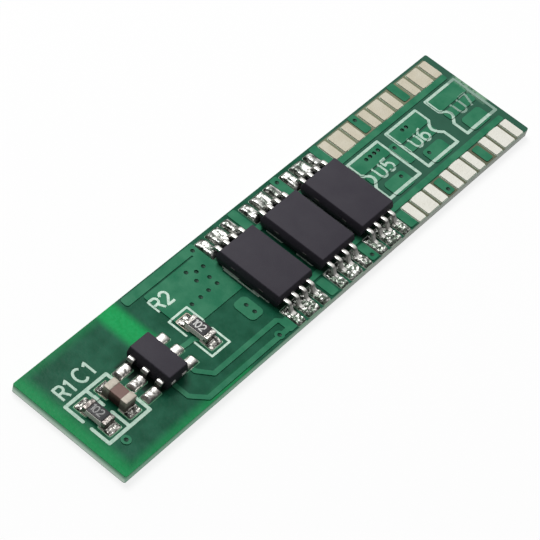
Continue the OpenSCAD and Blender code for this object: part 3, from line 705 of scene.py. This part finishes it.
# %% [markdown]
# ## Gull-wing leads
# A lead is a flat strip of metal bent twice: out of the body, down, and out again along its
# land. The bends are rounded because the strip is pressed over a tool. One strip of small
# faces is laid along that path and given its thickness by a Solidify modifier, and every
# other lead is a copy of it.


# %% Leads
BEND_RADIUS = 0.13


def bend_path(reach, drop, foot, shoulder):
    """Points of the middle line of a bent strip, from inside the body to the toe."""
    corners = [Vector((-0.15, 0)), Vector((shoulder, 0)), Vector((reach - foot, -drop)),
               Vector((reach, -drop))]
    points = [corners[0]]
    for before, corner, after in zip(corners, corners[1:], corners[2:]):
        first = corner + (before - corner).normalized() * BEND_RADIUS
        last = corner + (after - corner).normalized() * BEND_RADIUS
        for k in range(6):
            t = k / 5
            points.append(first * (1 - t) ** 2 + corner * 2 * t * (1 - t) + last * t * t)
    return points + [corners[-1]]


def bent_strip(name, width, thick, points):
    """A strip along the path in XZ, its width along Y, with rounded edges."""
    bpy.ops.object.select_all(action="DESELECT")
    bpy.ops.mesh.primitive_grid_add(x_subdivisions=len(points) - 1, y_subdivisions=2,
                                    size=2.0)
    strip_piece = start(name)
    columns = len(points) - 1
    for vertex in strip_piece.data.vertices:
        column = round((vertex.co.x + 1) / 2 * columns)
        point = points[column]
        vertex.co = Vector((point.x, vertex.co.y * width / 2, point.y)) * MM
    modify(strip_piece, "SOLIDIFY", thickness=thick * MM, offset=0.0, use_even_offset=True)
    modify(strip_piece, "BEVEL", width=0.025 * MM, segments=2, limit_method="ANGLE",
           angle_limit=math.radians(50))
    return shaded(strip_piece, 50)


def copies(pattern, name, places):
    """Copies of a pattern, each turned and moved, joined into one piece."""
    made = []
    for turn, spot in places:
        twin = pattern.copy()
        twin.data = pattern.data.copy()
        bpy.context.scene.collection.objects.link(twin)
        twin.data.transform(Matrix.Translation(Vector(spot) * MM)
                            @ Matrix.Rotation(turn, 4, "Z"))
        made.append(twin)
    return joined(made, name)


FET_PITCH, FET_LEAD, THICK = 0.65, 0.25, 0.15
fet_low, fet_high = place_mm("fet_body_1")
row_low, row_high = place_mm("fet_far_leads_1")
fet_middle = (fet_low + fet_high) / 2
lead_height = row_high.z - THICK / 2
seat = row_low.z
reach = row_high.y - fet_high.y
pattern = bent_strip("lead_pattern", FET_LEAD, THICK, bend_path(
    reach, lead_height - seat - THICK / 2, 0.38, 0.385))
for i in (1, 2, 3):
    low, high = place_mm(f"fet_body_{i}")
    x = (low.x + high.x) / 2
    for row, turn, edge in (("near", -math.pi / 2, low.y), ("far", math.pi / 2, high.y)):
        node = f"fet_{row}_leads_{i}"
        spots = [(turn, (x + k * FET_PITCH, edge, lead_height)) for k in (-1.5, -0.5, 0.5, 1.5)]
        dress(copies(pattern, "bent_" + node, spots), drawn, "lead_frame", node)
bpy.data.objects.remove(pattern)

one_low, one_high = place_mm("chip_lead_1")
chip_reach = chip_low.x - one_low.x
chip_level = one_high.z - THICK / 2
pattern = bent_strip("chip_lead_pattern", one_high.y - one_low.y, THICK, bend_path(
    chip_reach, chip_level - one_low.z - THICK / 2, 0.40, 0.20))
for n in range(1, 7):
    low, high = place_mm(f"chip_lead_{n}")
    left = n <= 3
    spot = (chip_low.x if left else chip_high.x, (low.y + high.y) / 2, chip_level)
    dress(copies(pattern, f"bent_chip_lead_{n}", [(math.pi if left else 0.0, spot)]),
          bent, "lead_frame", f"chip_lead_{n}")
bpy.data.objects.remove(pattern)
print("leads: 30, reach", round(reach, 2), "and", round(chip_reach, 2), "mm")

# %% [markdown]
# ## Solder
# Reflowed solder wets its land to the edge, climbs the heel and the sides of the lead, and
# thins out past the toe. The near rows were touched up by hand and are lumpy and grainy,
# and the far rows are fuller and broader. Each land gets a fine grid that is lifted by a
# height formula with seeded noise, and is then closed underneath.


# %% Solder heaps
GRID_STEP, LAND_CORNER, THINNEST = 0.035, 0.1, 0.012


def hill(distance, width):
    """A rounded rise from 0 at the rim to 1 at this distance inside it."""
    t = min(max(distance / width, 0.0), 1.0)
    return math.sqrt(1 - (1 - t) ** 2)


def slope(t, stops):
    """Height along a line through the stops, each (place, height), with soft corners."""
    for (t0, h0), (t1, h1) in zip(stops, stops[1:]):
        if t <= t1:
            s = (t - t0) / (t1 - t0)
            return h0 + (h1 - h0) * s * s * (3 - 2 * s)
    return stops[-1][1]


def solder_heap(name, centre, size, turn, feet, stops, lump, lump_size, seed):
    """A closed heap on a land. size is (across, along), along runs from heel to toe."""
    across, along = size
    nx, ny = max(10, round(across / GRID_STEP)), max(16, round(along / GRID_STEP))
    bpy.ops.object.select_all(action="DESELECT")
    bpy.ops.mesh.primitive_grid_add(x_subdivisions=nx, y_subdivisions=ny, size=2.0)
    heap = start(name)
    corner = LAND_CORNER
    for vertex in heap.data.vertices:
        x, y = vertex.co.x * across / 2, vertex.co.y * along / 2
        over = Vector((max(abs(x) - across / 2 + corner, 0),
                       max(abs(y) - along / 2 + corner, 0)))
        rim = min(across / 2 - abs(x), along / 2 - abs(y))
        if over.x > 0 and over.y > 0:
            scale = max(over) / over.length
            x = math.copysign(across / 2 - corner + over.x * scale, x)
            y = math.copysign(along / 2 - corner + over.y * scale, y)
            rim = corner - over.length * scale
        t = y / along + 0.5
        ridge = 1 - 0.30 * min(min(abs(x - foot) for foot in feet) / 0.25, 1.0) ** 2
        spot = Vector((x + seed * 3.1, y, 0))
        rough = noise.noise(spot * lump_size) + 0.5 * noise.noise(spot * lump_size * 2.3)
        height = slope(t, stops) * ridge * hill(rim, 0.16)
        height += lump * rough * min(rim / 0.08, 1.0)
        vertex.co = Vector((x, y, max(height, THINNEST if rim > 1e-6 else 0.0))) * MM
    bpy.ops.object.mode_set(mode="EDIT")
    bpy.ops.mesh.select_all(action="DESELECT")
    bpy.ops.mesh.select_non_manifold()
    bpy.ops.mesh.edge_face_add()
    bpy.ops.mesh.select_all(action="SELECT")
    bpy.ops.mesh.normals_make_consistent(inside=False)
    bpy.ops.object.mode_set(mode="OBJECT")
    heap.data.transform(Matrix.Translation(Vector(centre) * MM) @ Matrix.Rotation(turn, 4, "Z"))
    return shaded(heap, 60)


WIDE, OUTER, OUTER_AT = 1.0, 0.60, 1.06
SPILL_ACROSS, SPILL_ALONG, END_SPILL = 0.08, 0.06, 0.05
near_stops = [(0.0, 0.02), (0.30, 0.09), (0.48, 0.13), (0.66, 0.21), (0.84, 0.15), (1.0, 0.10)]
far_stops = [(0.0, 0.12), (0.22, 0.30), (0.45, 0.26), (0.75, 0.26), (0.90, 0.20), (1.0, 0.14)]
heaps = 0
for i in (1, 2, 3):
    for row, turn, stops in (("near", math.pi, near_stops), ("far", 0.0, far_stops)):
        node = f"fet_{row}_solder_{i}"
        low, high = place_mm(node)
        x, y = (low.x + high.x) / 2, (low.y + high.y) / 2
        lump, lump_size = (0.045, 5.5) if row == "near" else (0.035, 2.6)
        row_heaps = []
        for k, (at, wide, feet) in enumerate((
                (-OUTER_AT, OUTER, (0.085,)), (0.0, WIDE, (-0.325, 0.325)),
                (OUTER_AT, OUTER, (-0.085,)))):
            feet = feet if row == "far" else tuple(-f for f in feet)
            row_heaps.append(solder_heap(
                "heap", (x + at, y, low.z),
                (wide + SPILL_ACROSS, high.y - low.y + SPILL_ALONG), turn, feet, stops,
                lump, lump_size, 10 * i + k + (5 if row == "far" else 0)))
            heaps += 1
        dress(joined(row_heaps, "reflowed_" + node), broad if row == "far" else grainy,
              "solder", node)

chip_heaps = []
low, high = place_mm("chip_solder")
chip_stops = [(0.0, 0.12), (0.12, 0.26), (0.35, 0.20), (0.55, 0.22), (0.80, 0.24), (1.0, 0.10)]
for n in range(1, 7):
    lead_low, lead_high = place_mm(f"chip_lead_{n}")
    left = n <= 3
    inner = lead_low.x + 0.46 if left else lead_high.x - 0.46
    outer = low.x if left else high.x
    chip_heaps.append(solder_heap(
        "heap", ((inner + outer) / 2, (lead_low.y + lead_high.y) / 2, low.z),
        (0.63, abs(outer - inner) + END_SPILL), math.pi / 2 if left else -math.pi / 2, (0.0,),
        chip_stops, 0.03, 2.4, 40 + n))
dress(joined(chip_heaps, "reflowed_chip_solder"), smooth, "solder", "chip_solder")
print("solder heaps on transistor lands:", heaps, "and on chip lands:", len(chip_heaps))

# %% [markdown]
# ## Small parts
# A chip resistor is a thin ceramic block with dark glaze on top and a dipped metal cap on
# each end. The caps are soft boxes that bulge a little, and the glaze is a slightly crowned
# pillow between them. The capacitor is a thicker block with the same kind of caps. A wedge
# of solder joins each cap to its land.


# %% Small parts
def soft_box(name, low, high, soft, bulge, seed):
    """A box between two corners in millimetres, with rounded edges and a slight bulge."""
    middle, size = (low + high) / 2, high - low
    bpy.ops.object.select_all(action="DESELECT")
    bpy.ops.mesh.primitive_cube_add(size=1.0, location=middle * MM, scale=size * MM)
    box_piece = settle(start(name))
    modify(box_piece, "BEVEL", width=soft * MM, segments=3, limit_method="NONE")
    bpy.ops.object.mode_set(mode="EDIT")
    bpy.ops.mesh.select_all(action="SELECT")
    bpy.ops.mesh.subdivide(number_cuts=3)
    bpy.ops.object.mode_set(mode="OBJECT")
    for vertex in box_piece.data.vertices:
        away = (vertex.co / MM - middle)
        rough = noise.noise(vertex.co / MM * 4 + Vector((seed, 0, 0)))
        away *= 1 + bulge * rough
        vertex.co = (middle + away) * MM
    return shaded(box_piece, 50)


def two_caps(node, seed):
    """The two end caps of a small part, from the box of their node and their length."""
    low, high = place_mm(node)
    length = 0.44 if node.startswith("capacitor") else 0.30
    near = soft_box("cap", low, Vector((high.x, low.y + length, high.z)), 0.05, 0.05, seed)
    far = soft_box("cap", Vector((low.x, high.y - length, low.z)), high, 0.05, 0.05, seed + 9)
    return dress(joined([near, far], "dipped_" + node),
                 creamy if node.startswith("capacitor") else plated, "plated_ends", node)


for k, part in enumerate(("resistor_1", "resistor_2", "capacitor")):
    two_caps(part + "_ends", 3.0 * k)
    core_node = part + ("_body" if part == "capacitor" else "_base")
    low, high = place_mm(core_node)
    inset = Vector((0.0, 0.05, 0.0))
    block = soft_box("fired_" + core_node, low + inset, high - inset, 0.035, 0.01, 2.0 * k)
    if part == "capacitor":
        dress(block, ceramic, "capacitor_ceramic", core_node)
    else:
        dress(block, alumina, "resistor_ceramic", core_node)
        low, high = place_mm(part + "_glaze")
        pillow = soft_box("glazed_" + part, low - Vector((0, 0, 0.03)),
                          high + Vector((0, 0, 0.012)), 0.02, 0.01, k)
        dress(pillow, glaze, "resistor_glaze", part + "_glaze")

end_stops = [(0.0, 0.95), (0.18, 0.62), (0.45, 0.34), (0.8, 0.22), (1.0, 0.16)]
for k, part in enumerate(("resistor_1", "resistor_2", "capacitor")):
    node = part + "_solder"
    low, high = place_mm(node)
    ends_low, ends_high = place_mm(part + "_ends")
    tall = 0.36 if part == "capacitor" else 0.26
    stops = [(t, h * tall) for t, h in end_stops]
    fillets = []
    for turn, inner, outer in ((math.pi, ends_low.y + 0.02, low.y),
                               (0.0, ends_high.y - 0.02, high.y)):
        fillets.append(solder_heap(
            "heap", ((low.x + high.x) / 2, (inner + outer) / 2, low.z),
            (0.90, abs(outer - inner) + END_SPILL), turn, (0.0,), stops, 0.03, 3.4,
            70 + 3 * k + turn))
    dress(joined(fillets, "fillets_" + node), fillet, "solder", node)
print("small parts: 3")

# %% [markdown]
# ## Printed names of the places
# The legend also names each place, such as U for a chip or R for a resistor, with rounded
# strokes of one width. The built-in font has strokes of changing width, so each letter is
# drawn here as a path with a round section, pressed flat, and laid over the relief of the
# mask by a ray that looks for the surface under each of its points. One plain line beside
# the first transistor carries on the frame that its body partly hides.


# %% Stroke letters
def bow(x, y, rx, ry, first, last, steps=10):
    """Points on an arc round (x, y), with its two angles in degrees."""
    return [(x + rx * math.cos(math.radians(first + (last - first) * k / steps)),
             y + ry * math.sin(math.radians(first + (last - first) * k / steps)))
            for k in range(steps + 1)]


# Each letter is a list of strokes in a cell 1 high; the first value is its width
LETTERS = {
    "R": (0.62, [[(0, 0), (0, 1), (0.34, 1)] + bow(0.34, 0.75, 0.25, 0.25, 90, -90)
                 + [(0, 0.5)], [(0.32, 0.5), (0.60, 0)]]),
    "C": (0.72, [bow(0.38, 0.5, 0.38, 0.5, 48, 312, 16)]),
    "U": (0.62, [[(0, 1), (0, 0.31)] + bow(0.31, 0.31, 0.31, 0.31, 180, 360)
                 + [(0.62, 1)]]),
    "1": (0.24, [[(0, 0.80), (0.24, 1), (0.24, 0)]]),
    "2": (0.60, [bow(0.30, 0.70, 0.29, 0.30, 165, -35) + [(0, 0), (0.62, 0)]]),
    "5": (0.60, [[(0.56, 1), (0.10, 1), (0.06, 0.56)]
                 + bow(0.29, 0.32, 0.30, 0.32, 125, -150, 14)]),
    "6": (0.60, [bow(0.52, 0.55, 0.50, 0.47, 95, 180)
                 + bow(0.31, 0.30, 0.29, 0.30, 180, 540, 18)]),
    "7": (0.60, [[(0, 1), (0.60, 1), (0.22, 0)]]),
    "0": (0.56, [bow(0.28, 0.5, 0.28, 0.5, 90, 450, 18)]),
    "|": (0.0, [[(0, 0), (0, 1)]]),
}


def lettering(name, text, corner, height, stroke, width=1.0, gap=0.22, turn=0.0):
    """Letters as flattened round strokes, with their lower left corner at a place."""
    parts, pen = [], 0.0
    for letter in text:
        wide, strokes = LETTERS[letter]
        for corners in strokes:
            points = [corners[0]]
            for (x0, y0), (x1, y1) in zip(corners, corners[1:]):
                cuts = math.ceil(math.hypot(x1 - x0, y1 - y0) / 0.07)
                points += [(x0 + (x1 - x0) * k / cuts, y0 + (y1 - y0) * k / cuts)
                           for k in range(1, cuts + 1)]
            path = bpy.data.curves.new(name, "CURVE")
            path.dimensions, path.bevel_depth = "3D", stroke / 2 * MM
            path.bevel_resolution, path.use_fill_caps = 2, True
            line = path.splines.new("POLY")
            line.points.add(len(points) - 1)
            for point, (x, y) in zip(line.points, points):
                point.co = ((pen + x * width) * height * MM, y * height * MM, 0, 1)
            drawn_path = bpy.data.objects.new(name, path)
            bpy.context.scene.collection.objects.link(drawn_path)
            parts.append(drawn_path)
        pen += wide * width + gap
    bpy.ops.object.select_all(action="DESELECT")
    for part in parts:
        part.select_set(True)
    bpy.context.view_layer.objects.active = parts[0]
    bpy.ops.object.convert(target="MESH")
    sign = joined(parts, name)
    sign.data.transform(Matrix.Translation(Vector(corner).to_3d() * MM)
                        @ Matrix.Rotation(turn, 4, "Z") @ Matrix.Diagonal((1, 1, 0.16, 1)))
    return sign


def laid_on(sign, ground, lift):
    """Lifts each point of the sign onto the surface of the ground below it."""
    for vertex in sign.data.vertices:
        hit, spot, _, _ = ground.ray_cast(Vector((vertex.co.x, vertex.co.y, 0.01)), (0, 0, -1))
        level = spot.z if hit else mask_top * MM
        vertex.co.z += level + lift * MM
    return shaded(sign, 60)


STROKE, INK_LIFT = 0.155, 0.004
mask_surface = nodes["top_mask"]
names = {
    "R1": ((-16.56, 1.36), 0.84, 1.0), "C1": ((-15.16, 1.46), 0.86, 1.05),
    "R2": ((-8.68, 1.82), 0.82, 1.0), "U5": ((7.98, -0.45), 0.88, 1.0),
    "U6": ((11.40, -0.42), 0.90, 1.0), "U7": ((15.60, -0.50), 0.92, 1.05),
}
for text, (corner, height, width) in names.items():
    sign = lettering("legend_" + text, text, corner, height, STROKE, width)
    dress(laid_on(sign, mask_surface, INK_LIFT), ink, "legend_ink")
line = lettering("legend_line", "|", (fet_middle.x - 1.43, fet_middle.y - 0.96), 2.50, 0.10)
dress(laid_on(line, mask_surface, INK_LIFT), ink, "legend_ink")
print("printed names:", len(names))

# %% [markdown]
# The resistors carry a three-figure value code, printed small along the part.

# %% Value codes
for part in ("resistor_1", "resistor_2"):
    low, high = place_mm(part + "_glaze")
    code = lettering("code_" + part, "102", (low.x + 0.15, high.y - 0.06), 0.44, 0.075,
                     0.9, 0.16, turn=-math.pi / 2)
    for vertex in code.data.vertices:
        vertex.co.z += (high.z + 0.012) * MM
    dress(shaded(code, 60), code_ink, "legend_ink")

# %% [markdown]
# Most vias are tented: lacquer runs into the hole, dries with a dimple, and looks darker
# than the mask round it. A disc with a sunken middle stands in each hole. Its places are
# read from the barrels, whose walls are the only corners near each hole.

# %% Tented vias
tent_green = Finish("mask_in_a_via")
cloud = tent_green.grain(8.0, 2.0)
lacquer = tent_green.blend(cloud, (0.003, 0.026, 0.014), (0.008, 0.05, 0.028))
tent_green.surface(Base_Color=lacquer,
                   Roughness=0.35 + cloud * 0.2, Specular_IOR_Level=0.2)
centres = []
barrels = nodes["via_barrels"]
for vertex in barrels.data.vertices:
    spot = (barrels.matrix_world @ vertex.co) / MM
    near = [c for c in centres if math.hypot(c[0].x - spot.x, c[0].y - spot.y) < 0.30]
    if near:
        near[0].append(spot)
    else:
        centres.append([spot])
plugs = []
for ring in centres:
    low = Vector([min(s[k] for s in ring) for k in range(3)])
    high = Vector([max(s[k] for s in ring) for k in range(3)])
    bpy.ops.object.select_all(action="DESELECT")
    bpy.ops.mesh.primitive_circle_add(vertices=16, radius=1.0, fill_type="TRIFAN")
    disc = bpy.context.object
    for vertex in disc.data.vertices:
        reach = min(vertex.co.to_2d().length, 1.0)
        vertex.co = Vector((((low + high) / 2).x + vertex.co.x * (high - low).x * 0.46,
                            ((low + high) / 2).y + vertex.co.y * (high - low).y * 0.46,
                            high.z - 0.05 * (1 - reach * reach) - 0.01)) * MM
    plugs.append(disc)
dress(joined(plugs, "tented_vias"), tent_green, "solder_mask")
print("vias:", len(plugs))
